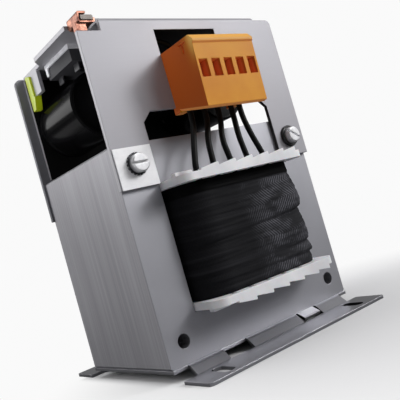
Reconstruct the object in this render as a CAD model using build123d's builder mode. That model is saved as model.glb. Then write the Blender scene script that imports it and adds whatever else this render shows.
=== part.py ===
from build123d import *

import os
from math import pi, radians, tan

# Foot-mounted dry transformer with a rectifier and two smoothing capacitors.
# Millimetres, +Z up. The origin is the middle of the foot, on the surface it is screwed to.
# X runs across the laminations, -Y is the terminal side.

os.makedirs("parts", exist_ok=True)

# ---------------------------------------------------------------- driving dimensions
# Lamination pack, EI 120
lam_width = 120.0
lam_height = 100.0
stack_depth = 73.0
limb_width = 20.0
centre_limb_width = 40.0
core_hole_d = 6.5
core_hole_inset = 10.0
lam_corner_chamfer = 1.0

# Foot: a hat-shaped sheet under the pack
foot_sheet = 1.5
foot_rise = 5.5
foot_length = 119.6
foot_depth = 123.6
foot_web_run = 4.5
foot_land_margin = 1.5
foot_bend_r = 1.5
foot_web_half_length = 52.0
foot_cutout_width = 15.0
foot_cutout_spacing = 50.0
foot_slot_width = 5.8
foot_slot_length = 13.0
foot_slot_spacing_x = 90.0
foot_slot_spacing_y = 104.0
foot_corner_r = 2.0
foot_tongue_drop = 0.8

# Coil former and windings
former_wall = 1.5
former_side_gap = 0.5
former_end_gap = 0.2
flange_thick = 3.5
flange_reach = 18.5
flange_corner_r = 6.0
winding_gap = 0.1
fit_gap = 0.1
winding_width = 75.0
winding_front = 50.0
winding_corner_r = 14.0
tape_thick = 1.0
interlayer_thick = 0.6
primary_build = 6.5
comb_teeth = 6
comb_tooth_low = 0.7
comb_tooth_high = 2.4
comb_tooth_round = 0.6
comb_rim = 2.2
comb_play = 0.3
comb_slot_depth = 5.0
comb_slot_pitch = 10.8
comb_slot_shift = -5.7
former_tab_width = 10.0
former_tab_depth = 3.0
former_tab_x = -30.0

# Chassis sheet over the pack, and the rear plate
sheet = 2.0
plate_width = 122.0
plate_lap = 20.5
chassis_rise = 58.5
bend_outer_r = 2.5
window_width = 38.0
window_centre_x = -1.0
window_top_margin = 6.5
window_height = 29.0
cutout_width = 80.0
cutout_chamfer = 5.0
cutout_above_core = 13.0
notch_width = 12.2
notch_drop = 6.5
notch_run = 9.8
corner_width = 12.5
corner_drop = 2.0
corner_r = 3.0
top_wide_end_y = 7.7
top_narrow_start_y = 13.6
top_narrow_half_width = 56.2
rear_leg_gap = 1.5
ear_front_y = 18.5
ear_length = 15.0
ear_height = 13.5
rear_plate_drop = 0.5

# Clamping screws, M5, through the upper pair of lamination holes
screw_d = 5.0
screw_hole_d = 5.5
screw_head_d = 8.5
screw_head_h = 3.3
screw_slot_width = 1.2
screw_slot_depth = 1.6
screw_head_edge = 0.5
right_slot_turn = -32
lock_washer_d = 10.4
lock_washer_h = 1.0
lock_washer_teeth = 18
lock_washer_tooth = 0.9
black_washer_d = 11.6
black_washer_h = 1.4
black_washer_edge = 0.4
nut_flats = 8.0
nut_h = 4.0
screw_tail = 2.5
contact_pad_thick = 0.4
contact_pad_height = 18.5
contact_pad_inset = 1.2

# Five-way terminal block
ways = 5
way_pitch = 7.5
block_centre_x = -1.25
block_depth = 24.4
block_top_above_core = 39.5
block_height = 34.3
block_slope_run = 2.3
block_slope_drop = 2.6
block_lip_height = 1.2
block_ridge = 0.7
block_lean = 1.8
block_underside_rise = 5.6
block_underside_chamfer = 1.1
block_hook_width = 4.5
block_hook_front = 2.5
block_hook_reach = 1.8
block_hook_low = 4.5
block_spigot_play = 1.0
latch_from_front = 8.0
latch_below_top = 4.05
latch_width = 1.4
latch_height = 5.1
latch_head_width = 5.4
latch_head_height = 1.1
latch_depth = 1.6
entry_width = 5.0
entry_height = 8.2
entry_depth = 7.0
entry_above_bottom = 18.3
clamp_plate_thick = 1.2
clamp_play = 0.3
lead_socket_d = 3.4
lead_socket_depth = 8.0
lead_socket_out = 6.0

# Black leads from the block to the coil
lead_d = 2.8
lead_top_shift = [-1.0, 0.3, 1.2, 2.6, 0.8]
lead_mid_x = [-23.0, -14.5, -5.7, 5.3, 13.7]
lead_mid_out = 9.2
lead_drop_out = 2.0
lead_drop_mid = 12.0

# Smoothing capacitors
capacitor_d = 34.0
capacitor_spacing = 77.4
capacitor_length = 41.5
capacitor_above_core = 28.3
capacitor_rim = 1.6
capacitor_disc_depth = 0.8
capacitor_groove_from_end = 4.5
capacitor_groove_half = 1.1
capacitor_groove_depth = 0.7
capacitor_edge = 0.8

# Bridge rectifier under the chassis top
rectifier_size = 28.5
rectifier_left_x = -53.3
rectifier_front_y = -14.0
rectifier_base_h = 2.2
rectifier_body_h = 5.9
rectifier_inset = 0.8
rectifier_corner_cut = 4.0
blade_width = 5.0
blade_thick = 0.8
blade_length = 3.6
blade_inset = 5.0
case_tab_width = 2.2
case_tab_drop = 3.9
case_tab_inset = 0.5

# Lead from the block's spigot to the nearest blade: X, distance behind the spigot, height above the core
rectifier_lead_bends = [
    (5.0, 0.0, 34.5),
    (5.0, 6.0, 34.5),
    (1.5, 8.5, 44.5),
    (-7.0, 8.0, 51.5),
    (-22.0, 9.5, 50.3),
    (-35.0, 13.0, 47.0),
]
rectifier_lead_last_run = 6.5

# Earth clamp in the chassis corner: a bent copper strap round a plated bar
strap_thick = 1.0
strap_left_x = -59.3
strap_right_x = -50.9
strap_floor_rise = 3.5
strap_lip_height = 2.2
strap_wall_height = 5.2
strap_curl = 4.5
strap_bend_r = 1.2
strap_front_overhang = 0.9
strap_rear_gap = 0.5
lug_left_x = -60.5
lug_width = 5.0
lug_depth = 3.0
bar_play = 0.1
bar_h = 2.2
bar_overhang = 0.6

# Lime-green insulating clip on the chassis ear
clip_thick = 1.2
clip_width = 5.0
clip_foot_width = 3.5
clip_foot_flare = 2.8
clip_foot_thick = 3.7
clip_foot_height = 6.9
clip_rear_inset = 2.3
clip_top_drop = 1.3
clip_top_fall = 1.4
clip_corner_r = 0.5

# ---------------------------------------------------------------- derived places
core_z = foot_rise
core_top = core_z + lam_height
half_stack = stack_depth / 2
half_lam = lam_width / 2
hole_x = half_lam - core_hole_inset
hole_low_z = core_z + core_hole_inset
hole_high_z = core_top - core_hole_inset
window_low_z = core_z + limb_width
window_high_z = core_top - limb_width

front_y = -half_stack - sheet
rear_y = half_stack + sheet
chassis_top = core_top + chassis_rise
plate_bottom = core_top - plate_lap
cutout_top = core_top + cutout_above_core
half_plate = plate_width / 2

former_low_z = window_low_z + former_end_gap
former_high_z = window_high_z - former_end_gap
former_mid_z = (former_low_z + former_high_z) / 2
flange_y = half_stack + flange_reach
winding_low_z = former_low_z + flange_thick + winding_gap
winding_height = former_high_z - former_low_z - 2 * (flange_thick + winding_gap)

block_top = core_top + block_top_above_core
block_bottom = block_top - block_height
block_front_y = front_y - block_depth
way_x = [block_centre_x + (i - (ways - 1) / 2) * way_pitch for i in range(ways)]
lead_socket_y = front_y - lead_socket_out
lead_mid_y = front_y - lead_mid_out
lead_top_x = [x + shift for x, shift in zip(way_x, lead_top_shift)]
comb_x = [comb_slot_shift + (i - (ways - 1) / 2) * comb_slot_pitch for i in range(ways)]
comb_y = -flange_y + comb_rim + comb_slot_depth - lead_d / 2 - comb_play


def save(builder, label):
    """Label a finished piece and write it as its own STEP file."""
    builder.part.label = label
    export_step(builder.part, f"parts/{label}.step")


def ring(outer, inner):
    """Draw one rounded winding layer, outer and inner given as (width, depth, corner)."""
    RectangleRounded(*outer[:2], outer[2])
    RectangleRounded(*inner[:2], inner[2], mode=Mode.SUBTRACT)


# ---------------------------------------------------------------- lamination pack
with BuildPart() as lamination_stack:
    with BuildSketch(Plane.XZ.offset(-half_stack)):
        with Locations((0, core_z + lam_height / 2)):
            pack = Rectangle(lam_width, lam_height)
        chamfer(pack.vertices(), lam_corner_chamfer)
        window_x = centre_limb_width / 2 + limb_width / 2
        with Locations((-window_x, core_z + lam_height / 2), (window_x, core_z + lam_height / 2)):
            Rectangle(limb_width, lam_height - 2 * limb_width, mode=Mode.SUBTRACT)
        with Locations(*[(x, z) for x in (-hole_x, hole_x) for z in (hole_low_z, hole_high_z)]):
            Circle(core_hole_d / 2, mode=Mode.SUBTRACT)
    extrude(amount=stack_depth)
save(lamination_stack, "lamination_stack")

# ---------------------------------------------------------------- foot
web_inner_y = half_stack + foot_land_margin
web_outer_y = web_inner_y + foot_web_run
half_foot = foot_depth / 2
land_z = foot_rise - foot_sheet

with BuildPart() as foot_bracket:
    with BuildSketch(Plane.YZ.offset(-foot_length / 2)):
        with BuildLine():
            FilletPolyline(
                (-half_foot, 0),
                (-web_outer_y, 0),
                (-web_inner_y, land_z),
                (web_inner_y, land_z),
                (web_outer_y, 0),
                (half_foot, 0),
                radius=foot_bend_r,
            )
            offset(amount=foot_sheet, side=Side.LEFT)
        make_face()
    extrude(amount=foot_length)
    fillet(foot_bracket.edges().filter_by(Axis.Z).group_by(Axis.Z)[0], foot_corner_r)
    # End reliefs and windows in both webs
    relief_x = (foot_length / 2 + foot_web_half_length) / 2 + foot_corner_r
    relief_w = foot_length / 2 - foot_web_half_length + 2 * foot_corner_r
    web_mid_y = (web_inner_y + web_outer_y) / 2
    with BuildSketch(Plane.XY):
        with Locations(*[(sx * relief_x, sy * web_mid_y) for sx in (-1, 1) for sy in (-1, 1)]):
            Rectangle(relief_w, foot_web_run + foot_sheet)
        with GridLocations(foot_cutout_spacing, 2 * web_mid_y, 2, 2):
            Rectangle(foot_cutout_width, foot_web_run + foot_sheet)
    extrude(amount=foot_rise, mode=Mode.SUBTRACT)
    # Fixing slots, long way across the foot
    with BuildSketch(Plane.XY):
        with GridLocations(foot_slot_spacing_x, foot_slot_spacing_y, 2, 2):
            SlotOverall(foot_slot_length, foot_slot_width, rotation=90)
    extrude(amount=foot_sheet, mode=Mode.SUBTRACT)
    # One tongue left in the front right window
    tongue_width = foot_cutout_width - 2 * foot_sheet
    with BuildSketch(Plane.YZ.offset((foot_cutout_spacing - tongue_width) / 2)):
        with BuildLine():
            Polyline((-web_inner_y + foot_sheet, foot_rise), (-web_inner_y, foot_rise),
                     (-web_outer_y, land_z - foot_tongue_drop))
            offset(amount=foot_sheet, side=Side.LEFT)
        make_face()
    extrude(amount=tongue_width)
save(foot_bracket, "foot_bracket")

# ---------------------------------------------------------------- coil former
tube_x = centre_limb_width / 2 + former_side_gap
tube_y = half_stack + former_side_gap
tube_outer = (2 * (tube_x + former_wall), 2 * (tube_y + former_wall), former_wall)
flange_width = 2 * (half_lam - limb_width - former_side_gap)

with BuildPart() as coil_former:
    with BuildSketch(Plane.XY.offset(former_low_z)):
        RectangleRounded(*tube_outer[:2], tube_outer[2])
        Rectangle(2 * tube_x, 2 * tube_y, mode=Mode.SUBTRACT)
    extrude(amount=former_high_z - former_low_z)
    # Upper flange with slots for the leads behind its front rim
    with BuildSketch(Plane.XY.offset(former_high_z - flange_thick)):
        RectangleRounded(flange_width, 2 * flange_y, flange_corner_r)
        Rectangle(2 * tube_x, 2 * tube_y, mode=Mode.SUBTRACT)
        with Locations(*[(x, -flange_y + comb_rim + comb_slot_depth / 2) for x in comb_x]):
            Rectangle(lead_d + 2 * comb_play, comb_slot_depth, mode=Mode.SUBTRACT)
    extrude(amount=flange_thick)
    # A saw-toothed comb along the rim: each tooth starts low in front of a slot and rises to the next
    comb_start_x = comb_x[0] - lead_d / 2 - comb_play
    rim_end_x = flange_width / 2 - flange_corner_r
    with BuildSketch(Plane.XZ.offset(flange_y)):
        for tooth in range(comb_teeth):
            tooth_x = comb_start_x + tooth * comb_slot_pitch
            tooth_width = min(comb_slot_pitch, rim_end_x - tooth_x)
            tooth_gain = (comb_tooth_high - comb_tooth_low) * tooth_width / comb_slot_pitch
            with BuildLine():
                Polyline(
                    (tooth_x, former_high_z),
                    (tooth_x + tooth_width, former_high_z),
                    (tooth_x + tooth_width, former_high_z + comb_tooth_low + tooth_gain),
                    (tooth_x, former_high_z + comb_tooth_low),
                    close=True,
                )
            make_face()
    extrude(amount=-comb_rim)
    # One wider tab beside the core
    with BuildSketch(Plane.XY.offset(former_high_z)):
        with Locations((former_tab_x, -half_stack - 2 * sheet - former_tab_depth / 2)):
            Rectangle(former_tab_width, former_tab_depth)
    extrude(amount=comb_tooth_high)
    fillet(coil_former.edges().filter_by(Axis.Y).group_by(Axis.Z)[-1], comb_tooth_round)
    # The lower flange is the same moulding turned over
    split(bisect_by=Plane.XY.offset(former_mid_z), keep=Keep.TOP)
    mirror(about=Plane.XY.offset(former_mid_z))
save(coil_former, "coil_former")

# ---------------------------------------------------------------- windings
outer_half_x = winding_width / 2 - tape_thick
outer_half_y = winding_front - tape_thick


def grown(size, build):
    """Return a layer's outline after winding one more build onto it."""
    ratio = (outer_half_y - tube_outer[1] / 2) / (outer_half_x - tube_outer[0] / 2)
    return (size[0] + 2 * build, size[1] + 2 * build * ratio, size[2] + build * 0.8)


primary_outline = grown(tube_outer, primary_build)
insulation_outline = grown(primary_outline, interlayer_thick)
secondary_outline = (2 * outer_half_x, 2 * outer_half_y, winding_corner_r - tape_thick)
tape_outline = (winding_width, 2 * winding_front, winding_corner_r)

with BuildPart() as primary_winding:
    with BuildSketch(Plane.XY.offset(winding_low_z)):
        ring(primary_outline, tube_outer)
    extrude(amount=winding_height)
save(primary_winding, "primary_winding")

with BuildPart() as interwinding_insulation:
    with BuildSketch(Plane.XY.offset(winding_low_z)):
        ring(insulation_outline, primary_outline)
    extrude(amount=winding_height)
save(interwinding_insulation, "interwinding_insulation")

with BuildPart() as secondary_winding:
    with BuildSketch(Plane.XY.offset(winding_low_z)):
        ring(secondary_outline, insulation_outline)
    extrude(amount=winding_height)
save(secondary_winding, "secondary_winding")

with BuildPart() as coil_tape:
    with BuildSketch(Plane.XY.offset(winding_low_z)):
        ring(tape_outline, secondary_outline)
    extrude(amount=winding_height)
save(coil_tape, "coil_tape")

# ---------------------------------------------------------------- chassis sheet
window_high = chassis_top - window_top_margin
window_mid_z = window_high - window_height / 2


def cutout_outline():
    """Corners of the wide opening with chamfered upper corners between a plate's two legs."""
    half = cutout_width / 2
    shoulder = half - cutout_chamfer
    shoulder_z = cutout_top - cutout_chamfer
    below = plate_bottom - 1
    return [(-half, below), (-half, shoulder_z), (-shoulder, cutout_top),
            (shoulder, cutout_top), (half, shoulder_z), (half, below)]


with BuildPart() as chassis:
    # One sheet bent twice: front leg, top, rear leg
    with BuildSketch(Plane.YZ.offset(-half_plate)):
        with BuildLine():
            FilletPolyline((front_y, plate_bottom), (front_y, chassis_top), (half_stack, chassis_top),
                           (half_stack, core_top + rear_leg_gap), radius=bend_outer_r)
            offset(amount=-sheet, side=Side.RIGHT)
        make_face()
    extrude(amount=plate_width)
    # Front leg: terminal window, lead opening, screw holes
    with BuildSketch(Plane.XZ.offset(-front_y)):
        with Locations((window_centre_x, window_mid_z)):
            Rectangle(window_width, window_height)
        with Locations((-hole_x, hole_high_z), (hole_x, hole_high_z)):
            Circle(screw_hole_d / 2)
        with BuildLine():
            Polyline(*cutout_outline(), close=True)
        make_face()
    extrude(amount=-sheet, mode=Mode.SUBTRACT)
    # Left corner notch for the earth clamp, cut round the bend
    with BuildSketch(Plane.XY.offset(chassis_top - notch_drop)):
        with Locations((-half_plate + notch_width / 2, front_y + notch_run / 2)):
            Rectangle(notch_width, notch_run)
    extrude(amount=notch_drop, mode=Mode.SUBTRACT)
    # The top is narrower than the front leg on the right, and steps in on the left
    with BuildSketch(Plane.XY.offset(core_top + rear_leg_gap)):
        with Locations((half_plate - corner_width / 2, half_stack / 2 + (front_y + sheet) / 2)):
            Rectangle(corner_width, half_stack - front_y - sheet)
        with BuildLine():
            Polyline((-half_plate, top_wide_end_y), (-top_narrow_half_width, top_narrow_start_y),
                     (-top_narrow_half_width, half_stack), (-half_plate, half_stack), close=True)
        make_face()
    extrude(amount=chassis_rise, mode=Mode.SUBTRACT)
    with BuildSketch(Plane.XY.offset(chassis_top - corner_drop)):
        with Locations((half_plate - corner_width / 2, front_y + sheet / 2)):
            Rectangle(corner_width, sheet)
    extrude(amount=corner_drop, mode=Mode.SUBTRACT)
    # Ear bent down from the left edge of the top
    with BuildSketch(Plane.YZ.offset(-top_narrow_half_width)):
        with Locations((ear_front_y + ear_length / 2, chassis_top - ear_height / 2)):
            Rectangle(ear_length, ear_height)
    extrude(amount=sheet)
    upper_right = chassis.edges().filter_by(Axis.Y).group_by(Axis.X)[-1].sort_by(Axis.Z)[-1]
    fillet(upper_right, corner_r)
save(chassis, "chassis")

# ---------------------------------------------------------------- rear plate
with BuildPart() as rear_plate:
    with BuildSketch(Plane.XZ.offset(-half_stack)):
        plate_top = chassis_top - rear_plate_drop
        with Locations((0, (plate_bottom + plate_top) / 2)):
            blank = Rectangle(plate_width, plate_top - plate_bottom)
        fillet(blank.vertices().group_by(Axis.Y)[-1], corner_r)
        with BuildLine():
            Polyline(*cutout_outline(), close=True)
        make_face(mode=Mode.SUBTRACT)
        with Locations((-hole_x, hole_high_z), (hole_x, hole_high_z)):
            Circle(screw_hole_d / 2, mode=Mode.SUBTRACT)
    extrude(amount=-sheet)
save(rear_plate, "rear_plate")

# ---------------------------------------------------------------- contact pad and washers
pad_x = -(half_plate + cutout_width / 2) / 2
pad_width = half_plate - cutout_width / 2 - contact_pad_inset
pad_z = plate_bottom + contact_pad_height / 2
with BuildPart() as contact_pad:
    with BuildSketch(Plane.XZ.offset(-front_y)):
        with Locations((pad_x, pad_z)):
            Rectangle(pad_width, contact_pad_height)
        with Locations((-hole_x, hole_high_z)):
            Circle(screw_hole_d / 2, mode=Mode.SUBTRACT)
    extrude(amount=contact_pad_thick)
save(contact_pad, "contact_pad")

left_seat_y = front_y - contact_pad_thick
with BuildPart() as lock_washer:
    with BuildSketch(Plane.XZ.offset(-left_seat_y)):
        with Locations((-hole_x, hole_high_z)):
            Circle(lock_washer_d / 2 - lock_washer_tooth / 2)
            with PolarLocations((lock_washer_d - lock_washer_tooth) / 2, lock_washer_teeth):
                Rectangle(lock_washer_tooth, lock_washer_tooth)
            Circle(screw_hole_d / 2, mode=Mode.SUBTRACT)
    extrude(amount=lock_washer_h)
save(lock_washer, "lock_washer")

with BuildPart() as black_washer:
    with BuildSketch(Plane.XZ.offset(-front_y)):
        with Locations((hole_x, hole_high_z)):
            Circle(black_washer_d / 2)
            Circle(screw_hole_d / 2, mode=Mode.SUBTRACT)
    extrude(amount=black_washer_h)
    chamfer(black_washer.faces().sort_by(Axis.Y)[0].edges().sort_by(SortBy.LENGTH)[-1],
            black_washer_edge)
save(black_washer, "black_washer")


def clamp_screw(x, seat_y, slot_turn):
    """One slotted cheese-head screw running back through the whole pack."""
    with BuildPart() as screw:
        with BuildSketch(Plane.XZ.offset(-seat_y)):
            with Locations((x, hole_high_z)):
                Circle(screw_head_d / 2)
        extrude(amount=screw_head_h)
        chamfer(screw.faces().sort_by(Axis.Y)[0].edges(), screw_head_edge)
        with BuildSketch(Plane.XZ.offset(-seat_y + screw_head_h - screw_slot_depth)):
            with Locations((x, hole_high_z)):
                Rectangle(screw_head_d + 1, screw_slot_width, rotation=slot_turn)
        extrude(amount=screw_slot_depth, mode=Mode.SUBTRACT)
        with BuildSketch(Plane.XZ.offset(-seat_y)):
            with Locations((x, hole_high_z)):
                Circle(screw_d / 2)
        extrude(amount=-(rear_y + nut_h + screw_tail - seat_y))
    return screw


clamp_screw_left = clamp_screw(-hole_x, left_seat_y - lock_washer_h, 0)
save(clamp_screw_left, "clamp_screw_left")
clamp_screw_right = clamp_screw(hole_x, front_y - black_washer_h, right_slot_turn)
save(clamp_screw_right, "clamp_screw_right")

with BuildPart() as clamp_nuts:
    with BuildSketch(Plane.XZ.offset(-rear_y)):
        with Locations((-hole_x, hole_high_z), (hole_x, hole_high_z)):
            RegularPolygon(nut_flats / 2, 6, major_radius=False)
            Circle(screw_d / 2, mode=Mode.SUBTRACT)
    extrude(amount=-nut_h)
save(clamp_nuts, "clamp_nuts")

# ---------------------------------------------------------------- terminal block
block_width = ways * way_pitch
entry_z = block_bottom + entry_above_bottom
lip_z = block_top - block_slope_drop - block_lip_height

with BuildPart() as terminal_block:
    with BuildSketch(Plane.YZ.offset(block_centre_x - block_width / 2)):
        with BuildLine():
            Polyline(
                (front_y, block_top),
                (block_front_y + block_slope_run, block_top),
                (block_front_y, block_top - block_slope_drop),
                (block_front_y, lip_z),
                (block_front_y + block_ridge, lip_z - block_ridge),
                (block_front_y + block_lean, block_bottom),
                (front_y, block_bottom + block_underside_rise),
                close=True,
            )
        make_face()
    extrude(amount=block_width)
    underside = terminal_block.faces().sort_by(Axis.Z)[0]
    chamfer(underside.edges().sort_by(Axis.Y)[:-1], block_underside_chamfer)
    # A hook at each end reaches in under the edge of the chassis opening
    hook_low = block_bottom + block_hook_low
    hook_high = cutout_top - fit_gap
    with BuildSketch(Plane.XZ.offset(-front_y + block_hook_front)):
        with Locations((block_centre_x, (hook_low + hook_high) / 2)):
            with GridLocations(block_width - block_hook_width, 1, 2, 1):
                Rectangle(block_hook_width, hook_high - hook_low)
    extrude(amount=-(block_hook_front + block_hook_reach))
    # Spigot that fills the lower part of the chassis window
    spigot_low = window_high - window_height + block_spigot_play
    spigot_high = block_top - block_spigot_play
    with BuildSketch(Plane.XZ.offset(-front_y)):
        with Locations((block_centre_x, (spigot_low + spigot_high) / 2)):
            Rectangle(block_width - block_spigot_play, spigot_high - spigot_low)
    extrude(amount=-2 * sheet)
    # Rectangular entries in the front, round lead sockets underneath
    with BuildSketch(Plane.XZ.offset(-block_front_y)):
        with Locations(*[(x, entry_z) for x in way_x]):
            Rectangle(entry_width, entry_height)
    extrude(amount=-entry_depth, mode=Mode.SUBTRACT)
    with BuildSketch(Plane.XY.offset(block_bottom)):
        with Locations(*[(x, lead_socket_y) for x in lead_top_x]):
            Circle(lead_socket_d / 2)
    extrude(amount=lead_socket_depth, mode=Mode.SUBTRACT)
    # Latch slot in each end face
    latch_y = block_front_y + latch_from_front
    latch_z = block_top - latch_below_top
    latch_head_z = latch_z + (latch_height - latch_head_height) / 2
    for end_x in (block_centre_x - block_width / 2, block_centre_x + block_width / 2):
        with BuildSketch(Plane.YZ.offset(end_x)):
            with Locations((latch_y, latch_z)):
                Rectangle(latch_width, latch_height)
            with Locations((latch_y, latch_head_z)):
                Rectangle(latch_head_width, latch_head_height)
        extrude(amount=latch_depth, both=True, mode=Mode.SUBTRACT)
save(terminal_block, "terminal_block")

with BuildPart() as clamp_plates:
    plate_y = block_front_y + entry_depth
    with BuildSketch(Plane.XZ.offset(-plate_y)):
        with Locations(*[(x, entry_z) for x in way_x]):
            Rectangle(entry_width - clamp_play, entry_height - clamp_play)
    extrude(amount=clamp_plate_thick)
save(clamp_plates, "clamp_plates")

# ---------------------------------------------------------------- leads


def corner_radii(points):
    """Radius of each corner's arc: 0.45 of the shorter run over the tangent of half the turn."""
    radii = []
    for before, here, after in zip(points, points[1:], points[2:]):
        run_in = Vector(*here) - Vector(*before)
        run_out = Vector(*after) - Vector(*here)
        half_turn = radians(run_in.get_angle(run_out)) / 2
        radii.append(0.45 * min(run_in.length, run_out.length) / tan(half_turn))
    return radii


def lead(points, diameter):
    """Sweep one round lead along straight runs joined by tangent arcs."""
    radii = corner_radii(points)
    with BuildPart() as cable:
        with BuildLine():
            route = FilletPolyline(*points, radius=radii)
        with BuildSketch(Plane(origin=route @ 0, z_dir=route % 0)):
            Circle(diameter / 2)
        sweep()
    section = pi * diameter**2 / 4
    print(f"length {route.length:.1f} radii {[round(r, 1) for r in radii]} "
          f"volume ratio {cable.part.volume / (section * route.length):.4f}")
    return cable


coil_end_z = winding_low_z + winding_height
socket_end_z = block_bottom + lead_socket_depth
comb_z = former_high_z + comb_tooth_high

for number, (top_x, mid_x, low_x) in enumerate(zip(lead_top_x, lead_mid_x, comb_x), start=1):
    lead_points = [
        (top_x, lead_socket_y, socket_end_z),
        (top_x, lead_socket_y, block_bottom - lead_drop_out),
        (mid_x, lead_mid_y, block_bottom - lead_drop_mid),
        (low_x, comb_y, comb_z),
        (low_x, comb_y, coil_end_z),
    ]
    terminal_lead = lead(lead_points, lead_d)
    save(terminal_lead, f"terminal_lead_{number}")

# ---------------------------------------------------------------- capacitors
capacitor_z = core_top + capacitor_above_core
capacitor_rear_y = half_stack - sheet
capacitor_front_y = capacitor_rear_y - capacitor_length


def capacitor(x):
    """One can lying along Y: open rim at the front, rolled groove near the rear end."""
    radius = capacitor_d / 2
    groove_y = capacitor_rear_y - capacitor_groove_from_end
    with BuildPart() as can:
        with BuildSketch(Plane(origin=(x, 0, capacitor_z), x_dir=(1, 0, 0), z_dir=(0, 0, 1))):
            with BuildLine():
                Polyline(
                    (0, capacitor_rear_y),
                    (radius - capacitor_edge, capacitor_rear_y),
                    (radius, capacitor_rear_y - capacitor_edge),
                    (radius, groove_y + capacitor_groove_half),
                    (radius - capacitor_groove_depth, groove_y),
                    (radius, groove_y - capacitor_groove_half),
                    (radius, capacitor_front_y + capacitor_edge),
                    (radius - capacitor_edge, capacitor_front_y),
                    (radius - capacitor_rim, capacitor_front_y),
                    (radius - capacitor_rim, capacitor_front_y + capacitor_disc_depth),
                    (0, capacitor_front_y + capacitor_disc_depth),
                    close=True,
                )
            make_face()
        revolve(axis=Axis((x, 0, capacitor_z), (0, 1, 0)))
    return can


capacitor_left = capacitor(-capacitor_spacing / 2)
save(capacitor_left, "capacitor_left")
capacitor_right = capacitor(capacitor_spacing / 2)
save(capacitor_right, "capacitor_right")

# ---------------------------------------------------------------- bridge rectifier
rectifier_x = rectifier_left_x + rectifier_size / 2
rectifier_y = rectifier_front_y + rectifier_size / 2
rectifier_top = chassis_top - sheet
base_z = rectifier_top - rectifier_base_h
body_z = base_z - rectifier_body_h

with BuildPart() as rectifier_base:
    with BuildSketch(Plane.XY.offset(base_z)):
        with Locations((rectifier_x, rectifier_y)):
            Rectangle(rectifier_size, rectifier_size)
    extrude(amount=rectifier_base_h)
    chamfer(rectifier_base.edges().filter_by(Axis.Z).sort_by(Axis.X)[-1], rectifier_corner_cut)
    # A small tab of the case turned down at the rear left corner
    tab_y = rectifier_front_y + rectifier_size - case_tab_inset - case_tab_width / 2
    with BuildSketch(Plane.YZ.offset(rectifier_left_x)):
        with Locations((tab_y, base_z - case_tab_drop / 2)):
            Rectangle(case_tab_width, case_tab_drop)
    extrude(amount=rectifier_inset)
save(rectifier_base, "rectifier_base")

with BuildPart() as rectifier_body:
    body_size = rectifier_size - 2 * rectifier_inset
    with BuildSketch(Plane.XY.offset(body_z)):
        with Locations((rectifier_x, rectifier_y)):
            Rectangle(body_size, body_size)
    extrude(amount=rectifier_body_h)
    chamfer(rectifier_body.edges().filter_by(Axis.Z).sort_by(Axis.X)[-1], rectifier_corner_cut)
save(rectifier_body, "rectifier_body")

blade_spacing = rectifier_size - 2 * blade_inset
with BuildPart() as rectifier_blades:
    with BuildSketch(Plane.XY.offset(body_z - blade_length)):
        with Locations((rectifier_x, rectifier_y)):
            with GridLocations(blade_spacing, blade_spacing, 2, 2):
                Rectangle(blade_thick, blade_width)
    extrude(amount=blade_length)
save(rectifier_blades, "rectifier_blades")

# ---------------------------------------------------------------- lead from the block to the rectifier
spigot_y = front_y + 2 * sheet
blade_face_x = rectifier_x - (blade_spacing - blade_thick) / 2
blade_y = rectifier_y - blade_spacing / 2
blade_z = body_z - lead_d
rectifier_lead_points = [(x, spigot_y + back, core_top + rise) for x, back, rise in rectifier_lead_bends]
rectifier_lead_points += [
    (blade_face_x + rectifier_lead_last_run, blade_y, blade_z),
    (blade_face_x, blade_y, blade_z),
]
rectifier_lead = lead(rectifier_lead_points, lead_d)
save(rectifier_lead, "rectifier_lead")

# ---------------------------------------------------------------- earth clamp
notch_z = chassis_top - notch_drop
floor_z = notch_z + strap_floor_rise
strap_front_y = front_y - strap_front_overhang
strap_length = notch_run + strap_front_overhang - strap_rear_gap

with BuildPart() as earth_clamp_strap:
    with BuildSketch(Plane.XZ.offset(-strap_front_y)):
        with BuildLine():
            FilletPolyline(
                (strap_right_x, floor_z + strap_lip_height),
                (strap_right_x, floor_z),
                (strap_left_x, floor_z),
                (strap_left_x, floor_z + strap_wall_height),
                (strap_left_x + strap_curl, floor_z + strap_wall_height),
                radius=strap_bend_r,
            )
            offset(amount=-strap_thick, side=Side.RIGHT)
        make_face()
    extrude(amount=-strap_length)
    # The lug below stands on the front leg, inside the notch
    with BuildSketch(Plane.XY.offset(notch_z)):
        with Locations((lug_left_x + lug_width / 2, front_y + lug_depth / 2)):
            Rectangle(lug_width, lug_depth)
    extrude(amount=strap_floor_rise + strap_thick / 2)
save(earth_clamp_strap, "earth_clamp_strap")

with BuildPart() as earth_clamp_bar:
    bar_low_x = strap_left_x + strap_thick + bar_play
    bar_high_x = strap_right_x - strap_thick - bar_play
    bar_low_z = floor_z + strap_thick
    bar_front_y = strap_front_y - bar_overhang
    bar_length = strap_length + bar_overhang
    with BuildSketch(Plane.XY.offset(bar_low_z)):
        with Locations(((bar_low_x + bar_high_x) / 2, bar_front_y + bar_length / 2)):
            Rectangle(bar_high_x - bar_low_x, bar_length)
    extrude(amount=bar_h)
    chamfer(earth_clamp_bar.edges().filter_by(Axis.Y), strap_bend_r / 3)
save(earth_clamp_bar, "earth_clamp_bar")

# ---------------------------------------------------------------- insulating clip
ear_bottom = chassis_top - ear_height
ear_rear_y = ear_front_y + ear_length
clip_left_x = -top_narrow_half_width - clip_thick
clip_rear_y = ear_rear_y - clip_rear_inset
clip_foot_low = ear_bottom - clip_foot_height

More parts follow.
